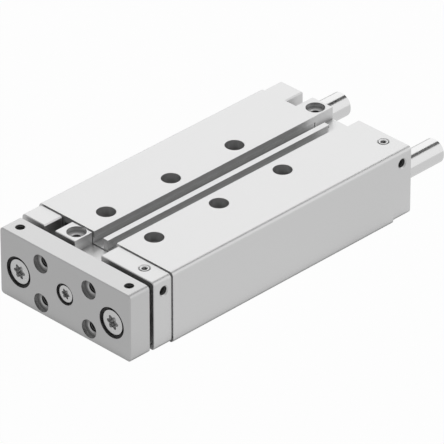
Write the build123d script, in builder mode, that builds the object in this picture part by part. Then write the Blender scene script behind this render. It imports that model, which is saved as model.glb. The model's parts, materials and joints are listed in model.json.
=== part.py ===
from build123d import *
import os

# A guided pneumatic cylinder. Sizes are in millimetres.
# +X points to the side with the air ports, -Y the way the yoke plate advances, +Z up.
# The origin is the centre of the housing's mounting face, which lies at z = 0.

# Working travel of the yoke plate
stroke = 100

# Housing, an extruded profile. Its length follows from the stroke and the piston.
housing_width = 83.5
housing_height = 36
profile_radius = 2.0
bore_diameter = 20
bore_drop = 0.25
guide_edge = 12.6
guide_drop = 1.75

# Sensor slots: two open slots side by side, parted by a rib with a wider head
groove_width = 14
groove_wall = 1.85
lip_thickness = 3.2
lip_undercut = 0.8
rib_width = 3.0
rib_neck = 2.0
rib_head = 1.5
rib_drop = 1.1

# Hollow chamber that runs through the profile between the cylinder bore and the left guide bore
chamber_inset = 5.75
chamber_width = 5.0
chamber_roof = 3.0
chamber_height = 7.0
chamber_radius = 0.6

# Mounting holes through the housing: two columns, tapped, with a recess for a centring sleeve
mount_columns = 30
mount_pitch = 40
mount_rows = 3
first_mount = 15
mount_core = 5.0
mouth_bevel = 0.5
sleeve_diameter = 9.0
head_recess_depth = 6.0
sleeve_depth = 2.3

# End caps, a little smaller than the housing all round
cap_step = 0.6
front_cap_length = 11.1
rear_cap_length = 11.9
cap_bevel = 0.3
relief_width = 0.6
relief_depth = 0.8
floor_relief_depth = 0.4
recess_left = 7.8
recess_right = 8.8
recess_step = 0.4
notch_width = 6.6
notch_depth = 9.4
notch_bevel = 0.6

# Holes on top of the end caps and air ports in their sides
front_setback = 5.0
rear_setback = 6.0
locating_x = -13.0
locating_core = 4.2
locating_depth = 9.0
port_drop = 6.5
port_core = 4.2
port_mouth = 5.4
port_depth = 7.0
passage_diameter = 3.0
passage_end = 13.0
feed_x = 6.5
feed_rise = 4.5
plug_edge = 12.5
plug_diameter = 5.0
plug_length = 5.0
plug_socket = 2.5
plug_socket_depth = 2.2
plug_mouth = 5.8
countersink_angle = 90

# Screws that hold the end caps
cap_screw = 3.0
cap_screw_head = 5.5
cap_screw_head_length = 3.0
cap_screw_engagement = 8.0
cap_screw_socket = 2.5
cap_screw_socket_depth = 1.4
cap_screw_sink = 0.2
cap_screw_hole_spare = 2.0
upper_screw_inset = 11.55
upper_screw_rise = 4.85
lower_screw_edge = 4.55
lower_screw_height = 5.6

# Rods, bushes and seals
guide_diameter = 12
guide_overhang = 28.6
guide_bevel = 0.6
piston_rod_diameter = 10
running_clearance = 0.05
seat_clearance = 0.05
bush_wall = 2.0
bush_length = 25.0
bush_margin = 1.2
guide_exit_clearance = 0.5
rod_hole_clearance = 0.4
wiper_pocket = 16.0
wiper_pocket_depth = 4.2
wiper_length = 3.6
wiper_lip = 0.9
wiper_lip_wall = 0.7
cap_seal_diameter = 21.6
cap_seal_depth = 1.2

# Yoke plate and the screws that hold the rods to it
plate_step = 1.0
plate_thickness = 12
plate_radius = 2.0
plate_bevel = 0.4
plate_gap = 1.9
seat_depth = 1.5
pattern_width = 30
pattern_height = 20
pattern_drop = 1.25
plate_core = 5.0
top_hole_edge = 6.75
top_hole_core = 4.2
top_hole_depth = 10
top_hole_bevel = 0.2
guide_recess = 15.0
guide_recess_depth = 5.4
guide_head = 12.0
guide_head_length = 4.9
guide_thread = 6.0
guide_star = 7.0
rod_recess = 10.5
rod_recess_depth = 3.9
rod_head = 8.3
rod_head_length = 3.4
rod_thread = 5.0
rod_star = 4.9
screw_clearance = 0.5
thread_clearance = 0.05
thread_reach = 12.0
head_bevel = 0.4
star_core_ratio = 0.34
star_lobe_ratio = 0.13
star_depth_ratio = 0.6

# Piston
piston_length = 26.4
piston_clearance = 0.1
bumper_diameter = 15.0
bumper_length = 6.0
bumper_stem = 8.0
bumper_stem_length = 2.5
end_clearance = 0.2
spigot_diameter = 8.0
spigot_end = 6.5
magnet_length = 8.0
guide_ring_wall = 1.5
piston_groove = 15.0
piston_seal_length = 3.2
piston_seal_lip = 1.0
piston_seal_setback = 3.0

# Sizes and places that follow from the sizes above
housing_length = stroke + piston_length + 2 * (bumper_length + end_clearance)
bore_height = housing_height / 2 - bore_drop
guide_height = housing_height / 2 - guide_drop
guide_x = housing_width / 2 - guide_edge
groove_floor = bore_height + bore_diameter / 2 + groove_wall
groove_depth = housing_height - groove_floor
chamber_centre = chamber_inset - guide_x
front_joint = -housing_length / 2
rear_joint = housing_length / 2
cap_front = front_joint - front_cap_length
cap_rear = rear_joint + rear_cap_length
plate_rear = cap_front - plate_gap
plate_front = plate_rear - plate_thickness
rod_front = plate_rear - seat_depth
guide_rear = cap_rear + guide_overhang
guide_shoulder = guide_rear - stroke - guide_bevel - bush_margin
piston_rear = rear_joint - end_clearance - bumper_length
piston_front = piston_rear - piston_length
piston_middle = (piston_front + piston_rear) / 2
cap_width = housing_width - 2 * cap_step
cap_height = housing_height - 2 * cap_step
cap_top = housing_height - cap_step
cap_middle = housing_height / 2
recess_floor = groove_floor - recess_step
notch_floor = cap_top - notch_depth
plate_width = housing_width - 2 * plate_step
plate_height = housing_height - 2 * plate_step
guide_hole = guide_diameter + 2 * bush_wall
guide_xs = (-guide_x, guide_x)
sides = (("left", -guide_x), ("right", guide_x))
plug_x = housing_width / 2 - plug_edge
upper_screw_x = guide_x - upper_screw_inset
upper_screw_height = bore_height + upper_screw_rise
lower_screw_x = housing_width / 2 - lower_screw_edge
cap_screw_places = [
    (-upper_screw_x, upper_screw_height),
    (upper_screw_x, upper_screw_height),
    (-lower_screw_x, lower_screw_height),
    (lower_screw_x, lower_screw_height),
]
piston_diameter = bore_diameter - 2 * piston_clearance
running_diameter = bore_diameter - 2 * running_clearance
magnet_diameter = running_diameter - 2 * (guide_ring_wall + seat_clearance)


def section(y):
    """Sketch plane across the cylinder at y: +X right, +Z up, and extruding goes to the front."""
    return Plane.XZ.offset(-y)


def ring(front, rear, outer, inner, x, z):
    """A ring round an axis along Y, between two places on it."""
    with BuildPart() as made:
        with BuildSketch(section(rear)):
            with Locations((x, z)):
                Circle(outer / 2)
                Circle(inner / 2, mode=Mode.SUBTRACT)
        extrude(amount=rear - front)
    return made


def lipped_wiper(x, z, shaft):
    """A wiper ring in its pocket, with a thin lip that leans out of the cap along the shaft."""
    inner = shaft / 2 + running_clearance
    outer = wiper_pocket / 2 - seat_clearance
    back = cap_front + wiper_pocket_depth
    front = back - wiper_length
    tip = cap_front - wiper_lip
    with BuildPart() as made:
        with BuildSketch(Plane(origin=(x, 0, z), x_dir=(1, 0, 0), z_dir=(0, 0, 1))):
            with BuildLine():
                Polyline(
                    (inner, back),
                    (outer, back),
                    (outer, front),
                    (inner + 2 * wiper_lip_wall, front),
                    (inner + wiper_lip_wall, tip),
                    (inner, tip),
                    close=True,
                )
            make_face()
        revolve(axis=Axis((x, 0, z), (0, 1, 0)))
    return made


def star(size):
    """A six-lobed screw recess of the given width over its lobes, as a sketch."""
    core = star_core_ratio * size
    lobe = star_lobe_ratio * size
    with BuildSketch() as made:
        Circle(core)
        with PolarLocations(size / 2 - lobe, 6):
            Circle(lobe)
    return made.sketch


def star_screw(head, head_length, thread, length, star_size):
    """A flat-headed screw along Y with its head's underside at the origin, pointing rearwards."""
    with BuildPart() as made:
        with BuildSketch(section(0)):
            Circle(head / 2)
        extrude(amount=head_length)
        chamfer(made.faces().sort_by(Axis.Y)[0].edges(), head_bevel)
        with BuildSketch(section(length)):
            Circle(thread / 2)
        extrude(amount=length)
        with BuildSketch(section(-head_length)):
            add(star(star_size))
        extrude(amount=-star_depth_ratio * head_length, mode=Mode.SUBTRACT)
    return made


def socket_screw(outward, diameter, head, head_length, length, socket, socket_depth):
    """A socket screw along Y with its head's underside at the origin and its head outward."""
    with BuildPart() as made:
        with BuildSketch(section(0)):
            Circle(head / 2)
        extrude(amount=outward * head_length)
        end = made.faces().sort_by(Axis.Y)[0 if outward > 0 else -1]
        chamfer(end.edges(), head_bevel / 2)
        with BuildSketch(section(0)):
            Circle(diameter / 2)
        extrude(amount=-outward * length)
        with BuildSketch(section(-outward * head_length)):
            RegularPolygon(socket / 2, 6, major_radius=False)
        extrude(amount=-outward * socket_depth, mode=Mode.SUBTRACT)
    return made


def sleeve_hole(core, recess_depth, depth):
    """A hole with a bevelled mouth at the bottom of a recess for a centring sleeve."""
    CounterBoreHole(
        radius=core / 2,
        counter_bore_radius=sleeve_diameter / 2,
        counter_bore_depth=recess_depth,
        depth=depth,
    )
    with Locations((0, 0, -recess_depth)):
        CounterSinkHole(
            radius=core / 2,
            counter_sink_radius=core / 2 + mouth_bevel,
            depth=depth - recess_depth,
            counter_sink_angle=countersink_angle,
        )


os.makedirs("parts", exist_ok=True)

# Housing: the extruded profile with its slots and hollow chamber
mount_ys = [front_joint + first_mount + mount_pitch * row for row in range(mount_rows)]
mount_places = [(x, y) for y in mount_ys for x in (-mount_columns / 2, mount_columns / 2)]
cap_screw_hole_depth = cap_screw_engagement + cap_screw_hole_spare

with BuildPart() as housing:
    with BuildSketch(section(rear_joint)):
        with Locations((0, housing_height / 2)):
            RectangleRounded(housing_width, housing_height, profile_radius)
        with Locations((0, housing_height)):
            Rectangle(groove_width, 2 * lip_thickness, mode=Mode.SUBTRACT)
        with Locations((0, groove_floor)):
            Rectangle(
                groove_width + 2 * lip_undercut,
                groove_depth - lip_thickness,
                align=(Align.CENTER, Align.MIN),
                mode=Mode.SUBTRACT,
            )
            Rectangle(rib_neck, groove_depth - rib_drop, align=(Align.CENTER, Align.MIN))
        with Locations((0, housing_height - rib_drop)):
            Rectangle(rib_width, rib_head, align=(Align.CENTER, Align.MAX))
        with Locations((chamber_centre, housing_height - chamber_roof - chamber_height / 2)):
            RectangleRounded(chamber_width, chamber_height, chamber_radius, mode=Mode.SUBTRACT)
        with Locations((0, bore_height)):
            Circle(bore_diameter / 2, mode=Mode.SUBTRACT)
        with Locations(*[(x, guide_height) for x in guide_xs]):
            Circle(guide_diameter / 2 + guide_exit_clearance, mode=Mode.SUBTRACT)
    extrude(amount=housing_length)
    # Guide bores, opened from the front for the bushes down to a shoulder
    with BuildSketch(section(front_joint)):
        with Locations(*[(x, guide_height) for x in guide_xs]):
            Circle(guide_hole / 2)
    extrude(amount=-(guide_shoulder - front_joint), mode=Mode.SUBTRACT)
    # Steps in the mouths of the bore, for the seals between housing and caps
    with BuildSketch(section(front_joint + cap_seal_depth), section(rear_joint)):
        with Locations((0, bore_height)):
            Circle(cap_seal_diameter / 2)
    extrude(amount=cap_seal_depth, mode=Mode.SUBTRACT)
    # Tapped holes for the cap screws in both ends
    with BuildSketch(section(front_joint)):
        with Locations(*cap_screw_places):
            Circle(cap_screw / 2 + thread_clearance)
    extrude(amount=-cap_screw_hole_depth, mode=Mode.SUBTRACT)
    with BuildSketch(section(rear_joint)):
        with Locations(*cap_screw_places):
            Circle(cap_screw / 2 + thread_clearance)
    extrude(amount=cap_screw_hole_depth, mode=Mode.SUBTRACT)
    # Mounting holes, recessed for screw heads above and for centring sleeves below
    with Locations(Plane.XY.offset(housing_height)):
        with Locations(*mount_places):
            sleeve_hole(mount_core, head_recess_depth, housing_height)
    with Locations(Plane.XY.reverse()):
        with Locations(*[(x, -y) for x, y in mount_places]):
            sleeve_hole(mount_core, sleeve_depth, housing_height - head_recess_depth)
housing.part.label = "housing"
export_step(housing.part, "parts/housing.step")


def end_cap(joint, outward, length, setback):
    """An end cap on the joint plane. outward is +1 for the front cap and -1 for the rear one."""
    hole_y = joint - outward * setback
    port_z = cap_top - port_drop
    recess_width = recess_left + recess_right
    recess_middle = (recess_right - recess_left) / 2
    with BuildPart() as cap:
        with BuildSketch(section(joint)):
            with Locations((0, cap_middle)):
                RectangleRounded(cap_width, cap_height, profile_radius)
        extrude(amount=outward * length)
        outer_face = cap.faces().sort_by(Axis.Y)[0 if outward > 0 else -1]
        chamfer(outer_face.edges(), cap_bevel)
        # Shallow relief all round beside the joint
        with BuildSketch(section(joint)):
            with Locations((0, cap_middle)):
                Rectangle(housing_width, housing_height)
                RectangleRounded(
                    cap_width - 2 * relief_depth,
                    cap_height - 2 * relief_depth,
                    profile_radius,
                    mode=Mode.SUBTRACT,
                )
            with Locations((recess_middle, recess_floor - floor_relief_depth)):
                Rectangle(
                    recess_width + 2 * relief_depth, groove_depth, align=(Align.CENTER, Align.MIN)
                )
            with Locations((chamber_centre, notch_floor - relief_depth)):
                Rectangle(
                    notch_width + 2 * relief_depth, notch_depth, align=(Align.CENTER, Align.MIN)
                )
        extrude(amount=outward * relief_width, mode=Mode.SUBTRACT)
        # Recess that carries on the sensor slots, and the notch that leads to the chamber
        with BuildSketch(section(joint)):
            with Locations((recess_middle, recess_floor)):
                Rectangle(recess_width, groove_depth * 2, align=(Align.CENTER, Align.MIN))
            with Locations((chamber_centre, notch_floor)):
                Rectangle(notch_width, notch_depth * 2, align=(Align.CENTER, Align.MIN))
        extrude(amount=outward * length, mode=Mode.SUBTRACT)
        notch_corner = chamber_centre - notch_width / 2
        top_edges = cap.edges().filter_by(Axis.Y).group_by(Axis.Z)[-1]
        chamfer(
            top_edges.sort_by(lambda edge: abs(edge.center().X - notch_corner))[0], notch_bevel
        )
        # Locating hole and plugged air port on top
        with Locations(Plane.XY.offset(cap_top)):
            with Locations((locating_x, hole_y)):
                sleeve_hole(locating_core, sleeve_depth, locating_depth)
            with Locations((plug_x, hole_y)):
                CounterSinkHole(
                    radius=plug_diameter / 2 + thread_clearance,
                    counter_sink_radius=plug_mouth / 2,
                    depth=port_drop,
                    counter_sink_angle=countersink_angle,
                )
        # Air port in the side, its cross passage, and the slanting feed into the bore
        with Locations(Plane.YZ.offset(cap_width / 2)):
            with Locations((hole_y, port_z)):
                CounterSinkHole(
                    radius=port_core / 2,
                    counter_sink_radius=port_mouth / 2,
                    depth=port_depth,
                    counter_sink_angle=countersink_angle,
                )
                Hole(passage_diameter / 2, depth=cap_width / 2 - passage_end)
        start = Vector(feed_x, joint, bore_height + feed_rise)
        finish = Vector(passage_end, hole_y, port_z)
        run = finish - start
        back_up = passage_diameter
        with BuildSketch(Plane(origin=start - run.normalized() * back_up, z_dir=run)):
            Circle(passage_diameter / 2)
        extrude(amount=run.length + back_up, mode=Mode.SUBTRACT)
        # Stepped holes for the cap screws
        head_depth = cap_screw_head_length + cap_screw_sink
        with BuildSketch(section(joint)):
            with Locations(*cap_screw_places):
                Circle(cap_screw / 2 + screw_clearance / 2)
        extrude(amount=outward * length, mode=Mode.SUBTRACT)
        with BuildSketch(section(joint - outward * length)):
            with Locations(*cap_screw_places):
                Circle(cap_screw_head / 2 + screw_clearance / 2)
        extrude(amount=-outward * head_depth, mode=Mode.SUBTRACT)
        # Clearance holes for the guide rods
        with BuildSketch(section(joint)):
            with Locations(*[(x, guide_height) for x in guide_xs]):
                Circle(guide_diameter / 2 + rod_hole_clearance)
        extrude(amount=outward * length, mode=Mode.SUBTRACT)
    return cap


def cap_screws(joint, outward, length):
    """The four screws of an end cap, with their heads sunk in its outer face."""
    underside = joint - outward * (length - cap_screw_head_length - cap_screw_sink)
    shank = length - cap_screw_head_length - cap_screw_sink + cap_screw_engagement
    one = socket_screw(
        outward,
        cap_screw,
        cap_screw_head,
        cap_screw_head_length,
        shank,
        cap_screw_socket,
        cap_screw_socket_depth,
    )
    with BuildPart() as made:
        with Locations(*[(x, underside, z) for x, z in cap_screw_places]):
            add(one.part)
    return made


# Front cap: the plain cap, bored for the piston rod's bush and for the wipers
front_cap_blank = end_cap(front_joint, 1, front_cap_length, front_setback)
rod_bush_hole = piston_rod_diameter + 2 * bush_wall
with BuildPart() as front_cap:
    add(front_cap_blank.part)
    with BuildSketch(section(front_joint)):
        with Locations((0, bore_height)):
            Circle(rod_bush_hole / 2)
    extrude(amount=front_cap_length, mode=Mode.SUBTRACT)
    with BuildSketch(section(cap_front)):
        with Locations((0, bore_height), *[(x, guide_height) for x in guide_xs]):
            Circle(wiper_pocket / 2)
    extrude(amount=-wiper_pocket_depth, mode=Mode.SUBTRACT)
front_cap.part.label = "front_cap"
export_step(front_cap.part, "parts/front_cap.step")

rear_cap = end_cap(rear_joint, -1, rear_cap_length, rear_setback)
rear_cap.part.label = "rear_cap"
export_step(rear_cap.part, "parts/rear_cap.step")

front_cap_screws = cap_screws(front_joint, 1, front_cap_length)
front_cap_screws.part.label = "front_cap_screws"
export_step(front_cap_screws.part, "parts/front_cap_screws.step")
rear_cap_screws = cap_screws(rear_joint, -1, rear_cap_length)
rear_cap_screws.part.label = "rear_cap_screws"
export_step(rear_cap_screws.part, "parts/rear_cap_screws.step")

# Seals between the caps and the housing, round the bore
seal_outer = cap_seal_diameter - 2 * seat_clearance
seal_inner = bore_diameter + 2 * seat_clearance
front_cap_seal = ring(
    front_joint, front_joint + cap_seal_depth, seal_outer, seal_inner, 0, bore_height
)
front_cap_seal.part.label = "front_cap_seal"
export_step(front_cap_seal.part, "parts/front_cap_seal.step")
rear_cap_seal = ring(
    rear_joint - cap_seal_depth, rear_joint, seal_outer, seal_inner, 0, bore_height
)
rear_cap_seal.part.label = "rear_cap_seal"
export_step(rear_cap_seal.part, "parts/rear_cap_seal.step")

# Plugs in the upper air ports
with BuildPart() as port_plugs:
    for hole_y in (front_joint - front_setback, rear_joint + rear_setback):
        with BuildSketch(Plane.XY.offset(cap_top)):
            with Locations((plug_x, hole_y)):
                Circle(plug_diameter / 2)
        extrude(amount=-plug_length)
        with BuildSketch(Plane.XY.offset(cap_top)):
            with Locations((plug_x, hole_y)):
                RegularPolygon(plug_socket / 2, 6, major_radius=False)
        extrude(amount=-plug_socket_depth, mode=Mode.SUBTRACT)
port_plugs.part.label = "port_plugs"
export_step(port_plugs.part, "parts/port_plugs.step")

# Bushes in the guide bores, two to each rod
bush_outer = guide_hole - 2 * seat_clearance
bush_inner = guide_diameter + 2 * running_clearance
for side, x in sides:
    for end, rear in (("front", front_joint + bush_length), ("rear", guide_shoulder)):
        bush = ring(rear - bush_length, rear, bush_outer, bush_inner, x, guide_height)
        bush.part.label = f"guide_bush_{end}_{side}"
        export_step(bush.part, f"parts/guide_bush_{end}_{side}.step")

# Wipers of the guide rods, and the piston rod's bush and seal
for side, x in sides:
    wiper = lipped_wiper(x, guide_height, guide_diameter)
    wiper.part.label = f"guide_wiper_{side}"
    export_step(wiper.part, f"parts/guide_wiper_{side}.step")
rod_seal = lipped_wiper(0, bore_height, piston_rod_diameter)
rod_seal.part.label = "rod_seal"
export_step(rod_seal.part, "parts/rod_seal.step")
rod_bush = ring(
    cap_front + wiper_pocket_depth,
    front_joint,
    rod_bush_hole - 2 * seat_clearance,
    piston_rod_diameter + 2 * running_clearance,
    0,
    bore_height,
)
rod_bush.part.label = "rod_bush"
export_step(rod_bush.part, "parts/rod_bush.step")

# Yoke plate
pattern_centre = housing_height / 2 - pattern_drop
pattern_places = [
    (x, z)
    for x in (-pattern_width / 2, pattern_width / 2)
    for z in (pattern_centre - pattern_height / 2, pattern_centre + pattern_height / 2)
]
plate_middle = (plate_front + plate_rear) / 2
top_hole_x = plate_width / 2 - top_hole_edge
top_hole_places = [(-top_hole_x, plate_middle), (top_hole_x, plate_middle)]
with BuildPart() as yoke_plate:
    with BuildSketch(section(plate_rear)):
        with Locations((0, bore_height)):
            RectangleRounded(plate_width, plate_height, plate_radius)
    extrude(amount=plate_thickness)
    faces_across = yoke_plate.faces().sort_by(Axis.Y)
    chamfer(faces_across[0].edges() + faces_across[-1].edges(), plate_bevel)
    with Locations(section(plate_front)):
        with Locations(*pattern_places):
            sleeve_hole(plate_core, sleeve_depth, plate_thickness)
        with Locations(*[(x, guide_height) for x in guide_xs]):
            CounterBoreHole(
                radius=guide_thread / 2 + screw_clearance / 2,
                counter_bore_radius=guide_recess / 2,
                counter_bore_depth=guide_recess_depth,
                depth=plate_thickness,
            )
        with Locations((0, bore_height)):
            CounterBoreHole(
                radius=rod_thread / 2 + screw_clearance / 2,
                counter_bore_radius=rod_recess / 2,
                counter_bore_depth=rod_recess_depth,
                depth=plate_thickness,
            )
    # Seats of the three rods in the back of the plate
    with BuildSketch(section(plate_rear)):
        with Locations(*[(x, guide_height) for x in guide_xs]):
            Circle(guide_diameter / 2 + seat_clearance)
        with Locations((0, bore_height)):
            Circle(piston_rod_diameter / 2 + seat_clearance)
    extrude(amount=seat_depth, mode=Mode.SUBTRACT)
    # Tapped holes in the top edge
    with Locations(Plane.XY.offset(bore_height + plate_height / 2)):
        with Locations(*top_hole_places):
            CounterSinkHole(
                radius=top_hole_core / 2,
                counter_sink_radius=top_hole_core / 2 + top_hole_bevel,
                depth=top_hole_depth,
                counter_sink_angle=countersink_angle,
            )
yoke_plate.part.label = "yoke_plate"
export_step(yoke_plate.part, "parts/yoke_plate.step")

# Guide rods
for side, x in sides:
    with BuildPart() as guide_rod:
        with BuildSketch(section(guide_rear)):
            with Locations((x, guide_height)):
                Circle(guide_diameter / 2)
        extrude(amount=guide_rear - rod_front)
        ends = guide_rod.faces().sort_by(Axis.Y)
        chamfer(ends[-1].edges(), guide_bevel)
        with BuildSketch(section(rod_front)):
            with Locations((x, guide_height)):
                Circle(guide_thread / 2 + thread_clearance)
        extrude(amount=-(thread_reach + guide_thread / 2), mode=Mode.SUBTRACT)
    guide_rod.part.label = f"guide_rod_{side}"
    export_step(guide_rod.part, f"parts/guide_rod_{side}.step")

guide_screw_underside = plate_front + guide_recess_depth
guide_screw = star_screw(
    guide_head,
    guide_head_length,
    guide_thread,
    rod_front - guide_screw_underside + thread_reach,
    guide_star,
)
with BuildPart() as guide_rod_screws:
    with Locations(*[(x, guide_screw_underside, guide_height) for x in guide_xs]):
        add(guide_screw.part)
guide_rod_screws.part.label = "guide_rod_screws"
export_step(guide_rod_screws.part, "parts/guide_rod_screws.step")

# Piston rod with the spigot that carries the piston
with BuildPart() as piston_rod:
    with BuildSketch(section(piston_front)):
        with Locations((0, bore_height)):
            Circle(piston_rod_diameter / 2)
    extrude(amount=piston_front - rod_front)
    with BuildSketch(section(piston_middle + magnet_length / 2 + spigot_end)):
        with Locations((0, bore_height)):
            Circle(spigot_diameter / 2)
    extrude(amount=piston_middle + magnet_length / 2 + spigot_end - piston_front)
    with BuildSketch(section(rod_front)):
        with Locations((0, bore_height)):
            Circle(rod_thread / 2 + thread_clearance)
    extrude(amount=-(thread_reach + rod_thread / 2), mode=Mode.SUBTRACT)
piston_rod.part.label = "piston_rod"
export_step(piston_rod.part, "parts/piston_rod.step")

rod_screw_underside = plate_front + rod_recess_depth
rod_screw = star_screw(
    rod_head,
    rod_head_length,
    rod_thread,
    rod_front - rod_screw_underside + thread_reach,
    rod_star,
)
with BuildPart() as piston_rod_screw:
    with Locations((0, rod_screw_underside, bore_height)):
        add(rod_screw.part)
piston_rod_screw.part.label = "piston_rod_screw"
export_step(piston_rod_screw.part, "parts/piston_rod_screw.step")

# Piston halves, each with a groove for its seal
spigot_hole = spigot_diameter + 2 * seat_clearance
magnet_front = piston_middle - magnet_length / 2
magnet_rear = piston_middle + magnet_length / 2
front_seal_place = piston_front + piston_seal_setback
rear_seal_place = piston_rear - piston_seal_setback - piston_seal_length
with BuildPart() as piston_front_half:
    with BuildSketch(section(magnet_front)):
        with Locations((0, bore_height)):
            Circle(piston_diameter / 2)
            Circle(spigot_hole / 2, mode=Mode.SUBTRACT)
    extrude(amount=magnet_front - piston_front)
    with BuildSketch(section(front_seal_place + piston_seal_length)):
        with Locations((0, bore_height)):
            Circle(piston_diameter / 2)
            Circle(piston_groove / 2, mode=Mode.SUBTRACT)
    extrude(amount=piston_seal_length, mode=Mode.SUBTRACT)
piston_front_half.part.label = "piston_front_half"
export_step(piston_front_half.part, "parts/piston_front_half.step")

with BuildPart() as piston_rear_half:
    with BuildSketch(section(piston_rear)):
        with Locations((0, bore_height)):
            Circle(piston_diameter / 2)
    extrude(amount=piston_rear - magnet_rear)
    with BuildSketch(section(rear_seal_place + piston_seal_length)):
        with Locations((0, bore_height)):
            Circle(piston_diameter / 2)
            Circle(piston_groove / 2, mode=Mode.SUBTRACT)
    extrude(amount=piston_seal_length, mode=Mode.SUBTRACT)
    with BuildSketch(section(magnet_rear)):
        with Locations((0, bore_height)):
            Circle(spigot_hole / 2)
    extrude(amount=-spigot_end - seat_clearance, mode=Mode.SUBTRACT)
    with BuildSketch(section(piston_rear)):
        with Locations((0, bore_height)):
            Circle(bumper_stem / 2 + seat_clearance)
    extrude(amount=bumper_stem_length, mode=Mode.SUBTRACT)
piston_rear_half.part.label = "piston_rear_half"
export_step(piston_rear_half.part, "parts/piston_rear_half.step")

piston_magnet = ring(
    magnet_front, magnet_rear, magnet_diameter, spigot_hole, 0, bore_height
)
piston_magnet.part.label = "piston_magnet"
export_step(piston_magnet.part, "parts/piston_magnet.step")
guide_ring_inner = magnet_diameter + 2 * seat_clearance
piston_guide_ring = ring(
    magnet_front, magnet_rear, running_diameter, guide_ring_inner, 0, bore_height
)
piston_guide_ring.part.label = "piston_guide_ring"
export_step(piston_guide_ring.part, "parts/piston_guide_ring.step")


def lip_seal(front, opens_front):
    """A piston seal ring with a groove in the face that the air pushes on."""
    rear = front + piston_seal_length
    seal_inner_radius = piston_groove / 2 + seat_clearance
    middle = (seal_inner_radius + running_diameter / 2) / 2
    with BuildPart() as made:
        with BuildSketch(section(rear)):
            with Locations((0, bore_height)):
                Circle(running_diameter / 2)
                Circle(seal_inner_radius, mode=Mode.SUBTRACT)
        extrude(amount=piston_seal_length)
        with BuildSketch(section(front if opens_front else rear)):
            with Locations((0, bore_height)):
                Circle(middle + piston_seal_lip / 2)
                Circle(middle - piston_seal_lip / 2, mode=Mode.SUBTRACT)
        depth = piston_seal_length / 2
        extrude(amount=-depth if opens_front else depth, mode=Mode.SUBTRACT)
    return made


piston_seal_front = lip_seal(front_seal_place, True)
piston_seal_front.part.label = "piston_seal_front"
export_step(piston_seal_front.part, "parts/piston_seal_front.step")
piston_seal_rear = lip_seal(rear_seal_place, False)
piston_seal_rear.part.label = "piston_seal_rear"
export_step(piston_seal_rear.part, "parts/piston_seal_rear.step")

# Elastic bumpers on both ends of the piston
bumper_front = ring(
    piston_front - bumper_length,
    piston_front,
    bumper_diameter,
    piston_rod_diameter + 2 * seat_clearance,
    0,
    bore_height,
)
bumper_front.part.label = "bumper_front"
export_step(bumper_front.part, "parts/bumper_front.step")
with BuildPart() as bumper_rear:
    with BuildSketch(section(piston_rear + bumper_length)):
        with Locations((0, bore_height)):
            Circle(bumper_diameter / 2)
    extrude(amount=bumper_length)
    with BuildSketch(section(piston_rear)):
        with Locations((0, bore_height)):
            Circle(bumper_stem / 2)
    extrude(amount=bumper_stem_length - seat_clearance)
bumper_rear.part.label = "bumper_rear"
export_step(bumper_rear.part, "parts/bumper_rear.step")
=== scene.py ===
"""Finishes, screws, threads and studio for the guided pneumatic cylinder, laid over its fixed frame.

+X is the side with the air ports, -Y the way the yoke plate advances, +Z up. Lengths are in metres.
"""

import json
import math

import bpy
import numpy as np
from bpy.props import (
    FloatProperty,
    FloatVectorProperty,
    IntProperty,
    PointerProperty,
)
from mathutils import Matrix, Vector


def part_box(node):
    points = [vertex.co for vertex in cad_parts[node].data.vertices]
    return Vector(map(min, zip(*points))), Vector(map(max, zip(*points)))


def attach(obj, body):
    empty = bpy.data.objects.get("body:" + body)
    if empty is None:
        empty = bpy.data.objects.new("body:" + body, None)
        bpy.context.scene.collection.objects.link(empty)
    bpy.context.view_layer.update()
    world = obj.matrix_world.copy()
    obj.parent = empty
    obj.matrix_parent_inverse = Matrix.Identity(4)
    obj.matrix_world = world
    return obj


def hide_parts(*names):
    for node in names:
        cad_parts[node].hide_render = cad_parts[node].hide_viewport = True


bl_info = {
    "name": "Guided cylinder",
    "version": (1, 0, 0),
    "blender": (4, 5, 0),
    "location": "View3D > Sidebar > Cylinder",
    "description": "Finishes, screws, threads and studio for a guided pneumatic cylinder",
    "category": "Object",
}

MM = 0.001
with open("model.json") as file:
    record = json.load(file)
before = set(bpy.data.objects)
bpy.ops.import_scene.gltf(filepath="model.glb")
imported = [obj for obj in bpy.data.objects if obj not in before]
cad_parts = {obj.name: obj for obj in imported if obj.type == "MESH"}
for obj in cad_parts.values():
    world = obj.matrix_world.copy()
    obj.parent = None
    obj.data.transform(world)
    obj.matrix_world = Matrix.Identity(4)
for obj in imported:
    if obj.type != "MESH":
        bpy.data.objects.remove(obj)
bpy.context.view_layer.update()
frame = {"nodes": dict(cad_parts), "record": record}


def srgb(code):
    """Linear colour of an sRGB hex code such as #DADBDC."""
    channels = np.array([int(code[i : i + 2], 16) for i in (1, 3, 5)]) / 255
    low = channels / 12.92
    high = ((channels + 0.055) / 1.055) ** 2.4
    return tuple(np.where(channels <= 0.04045, low, high))


# Shapes


def grid_quads(rows, columns):
    """Quads between neighbouring points of a grid stored row by row, its last column joined to its first."""
    row, column = np.meshgrid(np.arange(rows - 1), np.arange(columns), indexing="ij")
    beside = (column + 1) % columns
    corners = (
        row * columns + column,
        row * columns + beside,
        (row + 1) * columns + beside,
        (row + 1) * columns + column,
    )
    return np.stack(corners, axis=-1).reshape(-1, 4)


def polar_grid(radii, heights):
    """Points at (r cos a, r sin a, h): row i has radius radii[i], a number or one for each angle a."""
    radii = np.asarray(radii)
    angles = np.linspace(0, 2 * np.pi, radii.shape[1], endpoint=False)
    heights = np.broadcast_to(np.asarray(heights).reshape(len(radii), -1), radii.shape)
    return np.stack([radii * np.cos(angles), radii * np.sin(angles), heights], axis=-1)


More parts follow.
